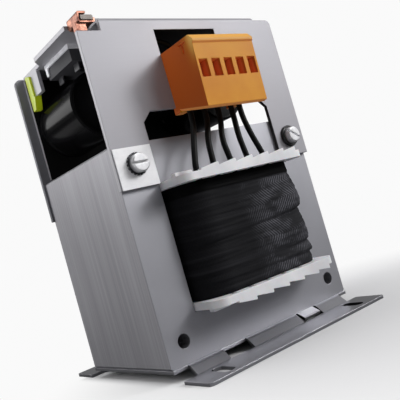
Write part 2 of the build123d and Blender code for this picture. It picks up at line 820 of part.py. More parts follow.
with BuildPart() as insulating_clip:
    with BuildSketch(Plane.YZ.offset(clip_left_x)):
        with BuildLine():
            Polyline(
                (clip_rear_y, clip_foot_low),
                (clip_rear_y, chassis_top - clip_top_drop),
                (clip_rear_y - clip_width, chassis_top - clip_top_drop - clip_top_fall),
                (clip_rear_y - clip_width, ear_bottom),
                (clip_rear_y - clip_foot_width - clip_foot_flare, ear_bottom),
                (clip_rear_y - clip_foot_width, clip_foot_low),
                close=True,
            )
        outline = make_face()
        fillet(outline.vertices(), clip_corner_r)
    extrude(amount=clip_thick)
    # The foot turns in under the ear
    with BuildSketch(Plane.YZ.offset(clip_left_x + clip_thick)):
        with BuildLine():
            Polyline(
                (clip_rear_y, clip_foot_low),
                (clip_rear_y, ear_bottom),
                (clip_rear_y - clip_foot_width - clip_foot_flare, ear_bottom),
                (clip_rear_y - clip_foot_width, clip_foot_low),
                close=True,
            )
        foot_outline = make_face()
        fillet(foot_outline.vertices().group_by(Axis.Y)[0], clip_corner_r)
    extrude(amount=clip_foot_thick - clip_thick)
save(insulating_clip, "insulating_clip")
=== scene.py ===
import logging
import math
from dataclasses import dataclass
from enum import Enum
from functools import cached_property
from typing import Any, Optional, Union

import bmesh
import bpy
from mathutils import Matrix, Vector, noise


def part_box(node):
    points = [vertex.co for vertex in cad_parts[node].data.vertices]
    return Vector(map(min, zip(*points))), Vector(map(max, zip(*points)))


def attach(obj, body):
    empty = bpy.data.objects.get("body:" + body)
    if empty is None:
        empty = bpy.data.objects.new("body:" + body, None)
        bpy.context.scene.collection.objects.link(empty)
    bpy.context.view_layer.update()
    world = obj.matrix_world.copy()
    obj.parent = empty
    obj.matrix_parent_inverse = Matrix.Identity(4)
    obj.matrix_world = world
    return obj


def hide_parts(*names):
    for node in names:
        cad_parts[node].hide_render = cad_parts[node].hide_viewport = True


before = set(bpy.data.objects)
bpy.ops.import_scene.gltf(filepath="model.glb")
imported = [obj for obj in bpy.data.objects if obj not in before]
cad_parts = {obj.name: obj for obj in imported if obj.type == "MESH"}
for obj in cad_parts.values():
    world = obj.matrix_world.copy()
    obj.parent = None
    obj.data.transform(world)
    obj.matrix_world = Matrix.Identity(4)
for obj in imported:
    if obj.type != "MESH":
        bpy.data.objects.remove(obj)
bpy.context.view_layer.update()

MM = 0.001
LOG = logging.getLogger("transformer")

Colour = tuple[float, float, float]
Place = tuple[float, float, float]
Span = tuple[float, float]
Operand = Union["Signal", float]

# How far a face's normal runs along an axis for the face to count as looking that way
SQUARE: Span = (0.85, 0.95)

# The colour sockets of a Mix node, which come after those for numbers and vectors
MIX_SHARE, MIX_FIRST, MIX_SECOND, MIX_RESULT = 0, 6, 7, 2


def srgb(red: int, green: int, blue: int) -> Colour:
    """Turn an 8-bit display colour into scene-linear values.

    Args:
        red: Red, 0 to 255.
        green: Green, 0 to 255.
        blue: Blue, 0 to 255.

    Returns:
        The three linear values, 0 to 1.
    """
    def linear(level: int) -> float:
        """Undo the display curve for one channel."""
        share = level / 255
        return share / 12.92 if share <= 0.04045 else ((share + 0.055) / 1.055) ** 2.4
    return linear(red), linear(green), linear(blue)


def scaled(colour: Colour, share: float) -> Colour:
    """The same colour, darker (share below 1) or lighter (above 1)."""
    return colour[0] * share, colour[1] * share, colour[2] * share


def beyond(base: float, span: Span) -> Span:
    """Both ends of a span, measured from a base."""
    return base + span[0], base + span[1]


def ramp(value: float, low: float, high: float) -> float:
    """Rise straight from 0 at low to 1 at high, and hold outside them."""
    return max(0.0, min(1.0, (value - low) / (high - low)))


# ------------------------------------------------------------------ shader maths


class Signal:
    """A socket of a node tree under construction that takes part in arithmetic."""

    def __init__(self, bench: "Bench", socket: bpy.types.NodeSocket) -> None:
        """Keep the socket and the bench that its Math nodes are added to."""
        self.bench = bench
        self.socket = socket

    def _maths(self, operation: str, *operands: Operand) -> "Signal":
        """Add one Math node.

        Args:
            operation: The node's operation.
            operands: Its values or links, in order.

        Returns:
            The node's result.
        """
        return self.bench.node("ShaderNodeMath", {"operation": operation},
                               dict(enumerate(operands)))

    def __add__(self, other: Operand) -> "Signal":
        """self + other."""
        return self._maths("ADD", self, other)

    __radd__ = __add__

    def __mul__(self, other: Operand) -> "Signal":
        """self * other."""
        return self._maths("MULTIPLY", self, other)

    __rmul__ = __mul__

    def __sub__(self, other: Operand) -> "Signal":
        """self - other."""
        return self._maths("SUBTRACT", self, other)

    def __rsub__(self, other: Operand) -> "Signal":
        """other - self."""
        return self._maths("SUBTRACT", other, self)

    def __pow__(self, other: Operand) -> "Signal":
        """self raised to other."""
        return self._maths("POWER", self, other)

    def __abs__(self) -> "Signal":
        """Size without sign."""
        return self._maths("ABSOLUTE", self)

    def wave(self) -> "Signal":
        """Sine of the signal, in radians."""
        return self._maths("SINE", self)

    def fold(self, reach: float) -> "Signal":
        """Triangle wave between 0 and reach."""
        return self._maths("PINGPONG", self, reach)

    def over(self, low: float, high: float) -> "Signal":
        """Rise smoothly from 0 at low to 1 at high (or fall, when low is the larger).

        Args:
            low: Value that gives 0.
            high: Value that gives 1.

        Returns:
            The eased mask.
        """
        if low > high:
            return 1 - self.over(high, low)
        return self.bench.node("ShaderNodeMapRange", {"interpolation_type": "SMOOTHSTEP"},
                               {"Value": self, "From Min": low, "From Max": high})

    def between(self, low: float, high: float, ease: float) -> "Signal":
        """Band mask: 1 between low and high, eased over a width at both ends."""
        return self.over(low - ease, low + ease) * self.over(high + ease, high - ease)


class Bench:
    """A node tree under construction."""

    def __init__(self, tree: bpy.types.NodeTree) -> None:
        """Take a tree over and empty it."""
        self.tree = tree
        self.tree.nodes.clear()

    def feed(self, socket: bpy.types.NodeSocket, value: Any) -> None:
        """Link a signal to an input, or set the input's value; a colour gets its alpha.

        Args:
            socket: The input.
            value: A signal, a number, a vector or a colour.
        """
        if isinstance(value, Signal):
            self.tree.links.new(value.socket, socket)
        elif isinstance(value, tuple) and socket.type == "RGBA":
            socket.default_value = (*value, 1.0)
        else:
            socket.default_value = value

    def add(self, kind: str, settings: Optional[dict[str, Any]] = None,
            sockets: Optional[dict[Union[int, str], Any]] = None) -> bpy.types.Node:
        """Add any node.

        Args:
            kind: The node's type.
            settings: Its own settings, which are set first.
            sockets: Values or signals for its inputs, by index or name.

        Returns:
            The node.
        """
        made = self.tree.nodes.new(kind)
        for key, value in (settings or {}).items():
            setattr(made, key, value)
        for key, value in (sockets or {}).items():
            self.feed(made.inputs[key], value)
        return made

    def node(self, kind: str, settings: Optional[dict[str, Any]] = None,
             sockets: Optional[dict[Union[int, str], Any]] = None,
             out: Union[int, str] = 0) -> Signal:
        """Add any node and hand one of its outputs back.

        Args:
            kind: The node's type.
            settings: Its own settings, which are set first.
            sockets: Values or signals for its inputs, by index or name.
            out: Which output.

        Returns:
            The chosen output.
        """
        return Signal(self, self.add(kind, settings, sockets).outputs[out])

    def split(self, vector: Signal) -> tuple[Signal, Signal, Signal]:
        """X, Y and Z of a vector."""
        outs = self.add("ShaderNodeSeparateXYZ", sockets={0: vector}).outputs
        return Signal(self, outs[0]), Signal(self, outs[1]), Signal(self, outs[2])


class Recipe(Bench):
    """A material being mixed: its node tree, its surface shader and its coordinates."""

    def __init__(self, name: str) -> None:
        """Start an empty material with one principled shader.

        Args:
            name: The material's name.
        """
        self.material = bpy.data.materials.new(name)
        self.material.use_nodes = True
        super().__init__(self.material.node_tree)
        self.surface = self.add("ShaderNodeBsdfPrincipled")
        self.output = self.add("ShaderNodeOutputMaterial",
                               sockets={"Surface": Signal(self, self.surface.outputs[0])})

    @cached_property
    def point(self) -> Signal:
        """Object coordinates, in metres, which are the part's own."""
        return self.node("ShaderNodeTexCoord", out="Object")

    @cached_property
    def place(self) -> tuple[Signal, Signal, Signal]:
        """X, Y and Z of the point being shaded."""
        return self.split(self.point)

    @cached_property
    def facing(self) -> tuple[Signal, Signal, Signal]:
        """X, Y and Z of the surface's true normal."""
        return self.split(self.node("ShaderNodeNewGeometry", out="True Normal"))

    def stretched(self, x: float, y: float, z: float) -> Signal:
        """Object coordinates with each axis scaled, for grain that runs one way."""
        return self.node("ShaderNodeVectorMath", {"operation": "MULTIPLY"},
                         {0: self.point, 1: (x, y, z)})

    def grain(self, scale: float, detail: float = 2.0, rough: float = 0.5,
              at: Optional[Signal] = None) -> Signal:
        """Cloudy noise, 0 to 1.

        Args:
            scale: Clouds per metre, or per unit of the given coordinates.
            detail: Number of finer layers.
            rough: Strength of the finer layers.
            at: Coordinates, the point itself if none are given.

        Returns:
            The noise level.
        """
        return self.node("ShaderNodeTexNoise", {"noise_dimensions": "3D"},
                         {"Vector": at or self.point, "Scale": scale, "Detail": detail,
                          "Roughness": rough})

    def blend(self, share: Operand, first: Any, second: Any) -> Signal:
        """Mix two colours.

        Args:
            share: 0 for the first colour, 1 for the second.
            first: Colour or signal.
            second: Colour or signal.

        Returns:
            The mixed colour.
        """
        return self.node("ShaderNodeMix", {"data_type": "RGBA", "clamp_factor": True},
                         {MIX_SHARE: share, MIX_FIRST: first, MIX_SECOND: second}, out=MIX_RESULT)

    def relief(self, height: Signal, depth: float, normal: Optional[Signal] = None) -> Signal:
        """Bump normal from a height.

        Args:
            height: 0 to 1.
            depth: What a height of 1 stands for, in metres.
            normal: The normal that it is added to.

        Returns:
            The bumped normal.
        """
        sockets: dict[Union[int, str], Any] = {"Height": height, "Distance": depth, "Strength": 1.0}
        if normal is not None:
            sockets["Normal"] = normal
        return self.node("ShaderNodeBump", sockets=sockets)

    def eased_edges(self, radius: float) -> Signal:
        """Normal that rolls over sharp edges within a radius, in metres."""
        return self.node("ShaderNodeBevel", {"samples": 6}, {"Radius": radius})

    def finish(self, **sockets: Any) -> bpy.types.Material:
        """Set the surface shader's sockets, named with underscores for spaces.

        Args:
            sockets: Values or signals.

        Returns:
            The finished material.
        """
        for key, value in sockets.items():
            self.feed(self.surface.inputs[key.replace("_", " ")], value)
        return self.material

    def show(self, shader: Signal) -> bpy.types.Material:
        """Put another shader in the surface shader's place.

        Args:
            shader: The one to show.

        Returns:
            The finished material.
        """
        self.feed(self.output.inputs["Surface"], shader)
        self.tree.nodes.remove(self.surface)
        return self.material


# ------------------------------------------------------------------ finishes


class Tint(Enum):
    """Colours of the bare metals, and the painted highlight and painted shade on sheared zinc
    edges.
    """

    ZINC_HIGHLIGHT = srgb(226, 226, 229)
    SHADED_CUT = srgb(18, 18, 20)
    COPPER = srgb(196, 140, 118)


@dataclass(frozen=True)
class Finish:
    """A named surface finish. Each kind below mixes its own material."""

    name: str

    def mix(self) -> bpy.types.Material:
        """Build the material."""
        raise NotImplementedError


@dataclass(frozen=True)
class StackedSteel(Finish):
    """Punched electrical steel: plain satin faces, and edges lined by every sheet."""

    half_stack: float
    sheet: float = 0.5 * MM
    skin: Span = (-0.12 * MM, -0.04 * MM)
    face: Colour = srgb(164, 164, 170)
    face_shade: float = 0.93
    edge: Colour = srgb(170, 169, 174)
    edge_shade: float = 0.74
    metallic: float = 0.72

    def mix(self) -> bpy.types.Material:
        """Line the cut edges sheet by sheet and leave the outer faces plain.

        Returns:
            The material.
        """
        recipe = Recipe(self.name)
        _, y, _ = recipe.place
        outer = abs(y).over(*beyond(self.half_stack, self.skin))
        # Each sheet is a little brighter or darker, and packs of sheets differ more
        lines = recipe.grain(1.0, 3.0, 0.65, recipe.stretched(16.0, 0.45 / self.sheet, 9.0))
        packs = recipe.grain(1.0, 2.0, 0.5, recipe.stretched(5.0, 130.0, 4.0))
        clouds = recipe.grain(30.0, 3.0, 0.55)
        fine = recipe.grain(1500.0, 2.0, 0.6)
        streak = lines * 0.6 + packs * 0.4
        lined = recipe.blend(streak.over(0.3, 0.7), scaled(self.edge, self.edge_shade), self.edge)
        plain = recipe.blend(clouds.over(0.3, 0.75), scaled(self.face, self.face_shade), self.face)
        bump = recipe.relief(lines * (1 - outer) + fine * outer * 0.12, 0.04 * MM,
                             recipe.eased_edges(0.35 * MM))
        rough = outer * (0.42 + clouds * 0.08) + (1 - outer) * (0.44 + lines * 0.12)
        return recipe.finish(Base_Color=recipe.blend(outer, lined, plain), Metallic=self.metallic,
                             Roughness=rough, Normal=bump)


@dataclass(frozen=True)
class InsideShade:
    """Painted shade: near-black colour on a leg's inner face, and from there on under the top,
    where the inside lies in deep shade.
    """

    inner_face: float
    top: float
    start: Span = (-44 * MM, -34 * MM)
    below_top: Span = (-8 * MM, -7 * MM)
    reach: float = 0.2 * MM
    tone: Colour = srgb(7, 7, 8)

    def cover(self, recipe: Recipe) -> Signal:
        """Mask of the faces that get the painted shade.

        Args:
            recipe: The material being mixed.

        Returns:
            The mask.
        """
        x, y, z = recipe.place
        _, _, nz = recipe.facing
        leg = y.between(self.inner_face - self.reach, self.inner_face + self.reach, 0.05 * MM)
        under = (nz * -1).over(*SQUARE) * z.over(*beyond(self.top, self.below_top))
        return leg + under * x.over(*self.start) * (1 - leg)


@dataclass(frozen=True)
class TongueHighlight:
    """Painted highlight on the tongue bent up out of the foot in front of the core, where it
    catches the light.
    """

    across: Span
    core_front: float
    root: Span = (-0.4 * MM, -1.0 * MM)
    tip: Span = (-6.0 * MM, -5.0 * MM)

    def cover(self, recipe: Recipe) -> Signal:
        """Mask of the tongue's faces, without its two side edges.

        Args:
            recipe: The material being mixed.

        Returns:
            The mask.
        """
        x, y, _ = recipe.place
        nx, _, _ = recipe.facing
        root = y.over(*beyond(self.core_front, self.root))
        tip = y.over(*beyond(self.core_front, self.tip))
        return x.between(*self.across, 0.1 * MM) * root * tip * (1 - abs(nx).over(*SQUARE))


@dataclass(frozen=True)
class ZincSheet(Finish):
    """Zinc-coated sheet steel, faintly brushed, with painted light and shade on its sheared edges.
    """

    tone: Colour = srgb(160, 159, 164)
    metallic: float = 0.40
    gloss: float = 0.45
    brush: Place = (60.0, 900.0, 900.0)
    # Painted light and shade on the sheared edges that face along X: its share and tone
    cut: float = 0.25
    cut_edge_shading: Colour = Tint.ZINC_HIGHLIGHT.value
    inward: Span = (6.0 * MM, 9.0 * MM)
    film: Optional[InsideShade] = None
    tongue: Optional[TongueHighlight] = None

    def mix(self) -> bpy.types.Material:
        """Faint rolling marks and soft clouds in colour and roughness.

        Returns:
            The material.
        """
        recipe = Recipe(self.name)
        x, _, _ = recipe.place
        nx, _, _ = recipe.facing
        marks = recipe.grain(1.0, 3.0, 0.6, recipe.stretched(*self.brush))
        clouds = recipe.grain(30.0, 3.0, 0.5)
        fine = recipe.grain(900.0, 2.0, 0.6)
        level = marks * 0.3 + clouds * 0.7
        colour = recipe.blend(level.over(0.25, 0.75), scaled(self.tone, 0.94), self.tone)
        # Painted highlight on the sheared edges that face along X; with a dark edge tone, painted
        # shade
        colour = recipe.blend(abs(nx).over(*SQUARE) * self.cut, colour, self.cut_edge_shading)
        # Painted shade: cut edges that look inward, across an opening, are painted dark, for the
        # dark inside that they mirror
        colour = recipe.blend((x * nx * -1).over(*self.inward) * 0.9, colour, Tint.SHADED_CUT.value)
        metallic: Operand = self.metallic
        # Painted highlight on the foot's tongue
        if self.tongue is not None:
            colour = recipe.blend(self.tongue.cover(recipe), colour, Tint.ZINC_HIGHLIGHT.value)
        # Painted shade inside: near-black, with less metal where it lies
        if self.film is not None:
            film = self.film.cover(recipe)
            colour = recipe.blend(film, colour, self.film.tone)
            metallic = (1 - film) * self.metallic
        bump = recipe.relief(marks * 0.5 + fine * 0.5, 0.006 * MM, recipe.eased_edges(0.4 * MM))
        return recipe.finish(Base_Color=colour, Metallic=metallic, Normal=bump,
                             Roughness=self.gloss + clouds * 0.10 + marks * 0.05,
                             Specular_IOR_Level=0.2)


@dataclass(frozen=True)
class Moulding(Finish):
    """Moulded plastic with a fine surface texture and eased edges."""

    tone: Colour
    deep: Colour
    gloss: float
    texture: float = 0.02 * MM
    edge: float = 0.35 * MM
    glow: float = 0.0
    shine: float = 0.5

    def mix(self) -> bpy.types.Material:
        """Soft colour drift with a fine moulded texture.

        Returns:
            The material.
        """
        recipe = Recipe(self.name)
        clouds = recipe.grain(55.0, 3.0, 0.5)
        fine = recipe.grain(1400.0, 2.0, 0.6)
        bump = recipe.relief(fine, self.texture, recipe.eased_edges(self.edge))
        return recipe.finish(Base_Color=recipe.blend(clouds.over(0.25, 0.8), self.deep, self.tone),
                             Roughness=self.gloss + clouds * 0.10 + fine * 0.04, Normal=bump,
                             Specular_IOR_Level=self.shine, Subsurface_Weight=self.glow,
                             Subsurface_Scale=2 * MM)


@dataclass(frozen=True)
class BlockMoulding(Finish):
    """Orange terminal moulding, with painted shade on its sides and painted light on its front
    edge, underside, ridge, latch slots and entries, which are also redder.
    """

    front: float
    top: float
    mouth: Span
    centre: float = -1.25 * MM
    outer_wall: Span = (18.6 * MM, 18.7 * MM)
    # Depths behind the front face
    lip: Span = (1.6 * MM, 3.4 * MM)
    throat: Span = (13 * MM, 12 * MM)
    rim_depth: Span = (9 * MM, 1 * MM)
    edge_depth: Span = (5.5 * MM, 0.5 * MM)
    latch_depth: Span = (4.5 * MM, 11.5 * MM)
    # Heights above the entries
    rim_rise: Span = (-9 * MM, 16 * MM)
    edge_rise: Span = (-2 * MM, 12 * MM)
    # Heights from the top
    ridge_foot: Span = (-3.6 * MM, -3.0 * MM)
    latch_foot: Span = (-10 * MM, -9.4 * MM)
    latch_wall: Span = (16.9 * MM, 18.6 * MM)
    tone: Colour = srgb(227, 155, 46)
    shade: Colour = srgb(216, 138, 36)
    # Painted shade for the sides, then painted light for the entries, the thin front edge, the
    # underside, the latch slots and the ridge
    side_shade: Colour = srgb(190, 90, 32)
    inside: Colour = srgb(236, 142, 88)
    thin_edge_light: Colour = srgb(255, 206, 112)
    under: Colour = srgb(255, 168, 92)
    latch: Colour = srgb(232, 128, 66)
    ridge_highlight: Colour = srgb(228, 168, 82)

    def off_centre(self, recipe: Recipe) -> Signal:
        """Distance from the block's middle plane."""
        return abs(recipe.place[0] - self.centre)

    def entries(self, recipe: Recipe) -> Signal:
        """Mask of the entries' walls, without the block's own sides.

        Args:
            recipe: The material being mixed.

        Returns:
            The mask.
        """
        _, y, z = recipe.place
        nx, _, _ = recipe.facing
        depth = y.over(*beyond(self.front, self.lip)) * y.over(*beyond(self.front, self.throat))
        outer = self.off_centre(recipe).over(*self.outer_wall) * abs(nx).over(0.9, 0.95)
        return depth * z.between(*self.mouth, 0.25 * MM) * (1 - outer)

    def latches(self, recipe: Recipe) -> Signal:
        """Mask of the latch slots in both sides.

        Args:
            recipe: The material being mixed.

        Returns:
            The mask.
        """
        _, y, z = recipe.place
        wall = self.off_centre(recipe).between(*self.latch_wall, 0.05 * MM)
        depth = y.between(*beyond(self.front, self.latch_depth), 0.2 * MM)
        return wall * z.over(*beyond(self.top, self.latch_foot)) * depth

    def skin(self, recipe: Recipe, clouds: Signal) -> Signal:
        """Colour of the outer faces, with painted light and shade.

        Args:
            recipe: The material being mixed.
            clouds: Soft drift, 0 to 1.

        Returns:
            The colour, before entries and latch slots.
        """
        _, y, z = recipe.place
        nx, _, nz = recipe.facing
        high = self.mouth[1]
        side = abs(nx).over(0.9, 0.97)
        rim = y.over(*beyond(self.front, self.rim_depth)) * z.over(*beyond(high, self.rim_rise))
        edge = y.over(*beyond(self.front, self.edge_depth)) * z.over(*beyond(high, self.edge_rise))
        body = recipe.blend(clouds.over(0.25, 0.8), self.shade, self.tone)
        # Painted shade: the sides are darker and redder, eased off near the front-top edge as a
        # painted highlight
        body = recipe.blend(side * (1 - rim * 0.8), body, self.side_shade)
        # Painted light: the thin front edge is lighter, as if light came through it, and the
        # underside is lighter, as if lit by the floor
        body = recipe.blend(side * edge * 0.9, body, self.thin_edge_light)
        body = recipe.blend((nz * -1).over(0.25, 0.6), body, self.under)
        # Painted highlight on the ridge along the top
        crown = z.over(*beyond(self.top, self.ridge_foot)) * (1 - side)
        return recipe.blend(crown, body, self.ridge_highlight)

    def mix(self) -> bpy.types.Material:
        """Lay the painted light of the latch slots and the entries over the outer colour.

        Returns:
            The material.
        """
        recipe = Recipe(self.name)
        clouds = recipe.grain(60.0, 3.0, 0.5)
        fine = recipe.grain(1600.0, 2.0, 0.6)
        # Painted light: the latch slots are lighter than the shaded sides
        colour = recipe.blend(self.latches(recipe), self.skin(recipe, clouds), self.latch)
        # Entry walls: redder, and lighter as painted light in the recesses
        colour = recipe.blend(self.entries(recipe), colour, self.inside)
        return recipe.finish(Base_Color=colour, Roughness=0.36 + clouds * 0.08,
                             Normal=recipe.relief(fine, 0.012 * MM, recipe.eased_edges(0.45 * MM)),
                             Specular_IOR_Level=0.15)


@dataclass(frozen=True)
class ShrunkSleeve(Finish):
    """Glossy black sleeve shrunk over a can."""

    tone: Colour = srgb(9, 9, 10)
    gloss: float = 0.12
    dusting: float = 1.6

    def mix(self) -> bpy.types.Material:
        """Near-black film with faint waviness.

        Returns:
            The material.
        """
        recipe = Recipe(self.name)
        waves = recipe.grain(1.0, 2.0, 0.5, recipe.stretched(90.0, 26.0, 90.0))
        dust = recipe.grain(700.0, 3.0, 0.7)
        colour = recipe.blend(dust.over(0.55, 0.85), self.tone, scaled(self.tone, self.dusting))
        return recipe.finish(Base_Color=colour, Roughness=self.gloss + dust * 0.06,
                             Normal=recipe.relief(waves, 0.08 * MM, recipe.eased_edges(0.3 * MM)),
                             Specular_IOR_Level=0.06)


@dataclass(frozen=True)
class BrightMetal(Finish):
    """Plated or bare metal with turned or drawn marks."""

    tone: Colour
    dull: Colour
    gloss: float
    metallic: float = 1.0
    marks: Place = (2200.0, 300.0, 2200.0)
    depth: float = 0.02 * MM
    edge: float = 0.25 * MM

    def mix(self) -> bpy.types.Material:
        """Fine drawn marks with a dull patina in the low spots.

        Returns:
            The material.
        """
        recipe = Recipe(self.name)
        drawn = recipe.grain(1.0, 3.0, 0.6, recipe.stretched(*self.marks))
        patina = recipe.grain(260.0, 3.0, 0.6)
        worn = (patina * 0.7 + drawn * 0.3).over(0.3, 0.7)
        return recipe.finish(Base_Color=recipe.blend(worn, self.dull, self.tone),
                             Metallic=self.metallic, Roughness=self.gloss + patina * 0.12,
                             Normal=recipe.relief(drawn, self.depth, recipe.eased_edges(self.edge)))


@dataclass(frozen=True)
class WovenTape(Finish):
    """Black cotton tape, herringbone woven, laid round the coil."""

    row: float = 8.0 * MM
    rib: float = 1.7 * MM
    thread: float = 0.51 * MM
    drift: float = 0.9 * MM
    collar: float = 76.2 * MM
    slack_side: Span = (0.0, 22 * MM)
    tone: Colour = srgb(8, 8, 9)
    # Painted highlight for the ribs, painted light for the slack side, and painted shadow for the
    # band under the flange
    lit: Colour = srgb(108, 108, 116)
    slack_lit_side: Colour = srgb(46, 46, 49)
    collar_shadow: Colour = srgb(5, 5, 6)

    def mix(self) -> bpy.types.Material:
        """Slanted ribs that turn over at every row; U runs along the tape and V across it.

        Returns:
            The material.
        """
        recipe = Recipe(self.name)
        along, across, _ = recipe.split(recipe.node("ShaderNodeUVMap", {"uv_map": "Tape"}))
        x, _, z = recipe.place
        zigzag = across.fold(self.row)
        wander = recipe.grain(1.0, 2.0, 0.5, recipe.stretched(160.0, 160.0, 260.0))
        slant = along + zigzag * 0.9 + wander * self.drift
        rib = (slant * (2 * math.pi / self.rib)).wave() * 0.5 + 0.5
        thread = ((along - zigzag * 1.4) * (2 * math.pi / self.thread)).wave() * 0.5 + 0.5
        fuzz = recipe.grain(2300.0, 3.0, 0.7)
        # The weave stands up where the turns are slack, and is pulled flat elsewhere; the slack
        # side, on the right, is also painted paler as painted light
        slack_lit_side = (x + recipe.grain(60.0, 2.0, 0.5) * 20 * MM).over(*self.slack_side)
        worn = recipe.grain(1.0, 3.0, 0.55, recipe.stretched(70.0, 70.0, 150.0)).over(0.40, 0.62)
        clear = across.over(0.5 * MM, 2.0 * MM) * z.over(self.collar, self.collar - 1.5 * MM)
        showing = (slack_lit_side * 0.98 + 0.02) * worn * clear
        streaks = recipe.grain(1.0, 3.0, 0.6, recipe.stretched(9.0, 9.0, 380.0))
        paler = slack_lit_side * (0.45 + worn * 0.55) + streaks.over(0.48, 0.72) * (1 - slack_lit_side) * 0.45
        colour = recipe.blend(paler, self.tone, self.slack_lit_side)
        # Painted highlight on the ribs where the weave shows
        colour = recipe.blend(rib.over(0.45, 1.0) * showing * 0.7 + fuzz * 0.10, colour, self.lit)
        # Painted shadow on the band under the flange, above the collar
        above = z.over(self.collar - 0.6 * MM, self.collar + 0.4 * MM)
        colour = recipe.blend(above, colour, self.collar_shadow)
        height = rib.over(0.1, 0.9) * showing + thread * 0.12 * showing
        height = height + fuzz * 0.22 + streaks * 0.5
        return recipe.finish(Base_Color=colour, Roughness=0.58 + fuzz * 0.2 - showing * rib * 0.16,
                             Normal=recipe.relief(height, 0.13 * MM), Specular_IOR_Level=0.06)


HALF_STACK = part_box("lamination_stack")[1].y
CHASSIS_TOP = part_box("chassis")[1].z
BLOCK_LOW, BLOCK_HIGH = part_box("terminal_block")
CLAMP_LOW, CLAMP_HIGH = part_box("clamp_plates")
CHASSIS_GAUGE = 2.0 * MM

CORE_STEEL = StackedSteel("core_steel", HALF_STACK)
# Painted shade on the rear leg's inner face and under the top
CHASSIS_ZINC = ZincSheet("chassis_zinc", film=InsideShade(HALF_STACK - CHASSIS_GAUGE, CHASSIS_TOP))
REAR_ZINC = ZincSheet("rear_zinc", tone=srgb(122, 122, 127), cut=0.0)
# The foot's darker edge tone is painted shade on its X-facing edges; its tongue gets a painted
# highlight
FOOT_ZINC = ZincSheet("foot_zinc", tone=srgb(158, 158, 163), metallic=0.85, gloss=0.27,
                      brush=(40.0, 700.0, 700.0), cut=0.9, cut_edge_shading=srgb(124, 124, 128),
                      tongue=TongueHighlight((19.2 * MM, 30.8 * MM), -HALF_STACK))
FORMER_WHITE = Moulding("former_white", srgb(250, 250, 252), srgb(222, 222, 226), 0.42, glow=0.12)
BLOCK_ORANGE = BlockMoulding("block_orange", BLOCK_LOW.y, BLOCK_HIGH.z, (CLAMP_LOW.z, CLAMP_HIGH.z))
# The clamp plates at the entries' ends: red, painted lighter as painted light in those recesses
ENTRY_RED = Moulding("entry_red", srgb(226, 130, 94), srgb(216, 116, 80), 0.5)
CAN_BLACK = ShrunkSleeve("can_black")
BASE_METAL = BrightMetal("base_metal", srgb(222, 222, 226), srgb(204, 204, 208), 0.42, metallic=0.3)
CASE_RESIN = Moulding("case_resin", srgb(46, 46, 50), srgb(34, 34, 38), 0.55)
LEAD_BLACK = Moulding("lead_black", srgb(9, 9, 10), srgb(5, 5, 6), 0.46, texture=0.03 * MM,
                      shine=0.14)
BLADE_TIN = BrightMetal("blade_tin", srgb(78, 78, 81), srgb(56, 56, 59), 0.42, metallic=0.6)
WASHER_STEEL = BrightMetal("washer_steel", srgb(96, 96, 100), srgb(44, 44, 47), 0.24, metallic=0.9)
ZINC_PLATE = BrightMetal("zinc_plate", srgb(232, 232, 234), srgb(208, 208, 211), 0.24,
                         metallic=0.75, depth=0.01 * MM)
PAD_PLATE = BrightMetal("pad_plate", srgb(246, 246, 248), srgb(236, 236, 239), 0.45,
                        metallic=0.15, marks=(300.0, 300.0, 1500.0))
BLACK_OXIDE = BrightMetal("black_oxide", srgb(34, 34, 36), srgb(20, 20, 22), 0.3, metallic=0.3)
BARE_COPPER = BrightMetal("bare_copper", Tint.COPPER.value, srgb(78, 44, 38), 0.34,
                          metallic=0.85, marks=(900.0, 140.0, 900.0), depth=0.10 * MM)
BAR_STEEL = BrightMetal("bar_steel", srgb(120, 114, 110), srgb(92, 86, 82), 0.42, metallic=0.6)
CLIP_LIME = Moulding("clip_lime", srgb(186, 200, 30), srgb(170, 186, 20), 0.28, edge=0.4 * MM,
                     glow=0.05)
ENAMEL = BrightMetal("enamelled_wire", srgb(150, 74, 34), srgb(110, 50, 24), 0.3,
                     metallic=0.5, marks=(60.0, 60.0, 2600.0), depth=0.2 * MM)
WINDING_FILM = Moulding("winding_film", srgb(222, 206, 150), srgb(206, 188, 128), 0.4)
TAPE_BLACK = WovenTape("tape_black")

NODE_FINISHES: dict[str, Finish] = {
    "lamination_stack": CORE_STEEL,
    "chassis": CHASSIS_ZINC,
    "rear_plate": REAR_ZINC,
    "foot_bracket": FOOT_ZINC,
    "coil_former": FORMER_WHITE,
    "primary_winding": ENAMEL,
    "secondary_winding": ENAMEL,
    "interwinding_insulation": WINDING_FILM,
    "contact_pad": PAD_PLATE,
    "lock_washer": WASHER_STEEL,
    "black_washer": BLACK_OXIDE,
    "clamp_screw_left": ZINC_PLATE,
    "clamp_screw_right": ZINC_PLATE,
    "clamp_nuts": ZINC_PLATE,
    "terminal_block": BLOCK_ORANGE,
    "clamp_plates": ENTRY_RED,
    "capacitor_left": CAN_BLACK,
    "capacitor_right": CAN_BLACK,
    "rectifier_base": BASE_METAL,
    "rectifier_body": CASE_RESIN,
    "rectifier_blades": BLADE_TIN,
    "rectifier_lead": LEAD_BLACK,
    "earth_clamp_strap": BARE_COPPER,
    "earth_clamp_bar": BAR_STEEL,
    "insulating_clip": CLIP_LIME,
    **{f"terminal_lead_{number}": LEAD_BLACK for number in range(1, 6)},
}


class Palette:
    """Mixes each finish once and puts it on objects."""

    def __init__(self) -> None:
        """Start with nothing mixed."""
        self._mixed: dict[str, bpy.types.Material] = {}

    def material(self, finish: Finish) -> bpy.types.Material:
        """Return the finish's material, mixing it at first use.

        Args:
            finish: The finish wanted.

        Returns:
            Its material.
        """
        if finish.name not in self._mixed:
            self._mixed[finish.name] = finish.mix()
        return self._mixed[finish.name]

    def dress(self, piece: bpy.types.Object, finish: Finish) -> None:
        """Give a whole piece one finish, in every slot it has.

        Args:
            piece: The object to dress.
            finish: What it is dressed in.
        """
        material = self.material(finish)
        if not piece.data.materials:
            piece.data.materials.append(material)
        for index in range(len(piece.data.materials)):
            piece.data.materials[index] = material


# ------------------------------------------------------------------ pieces


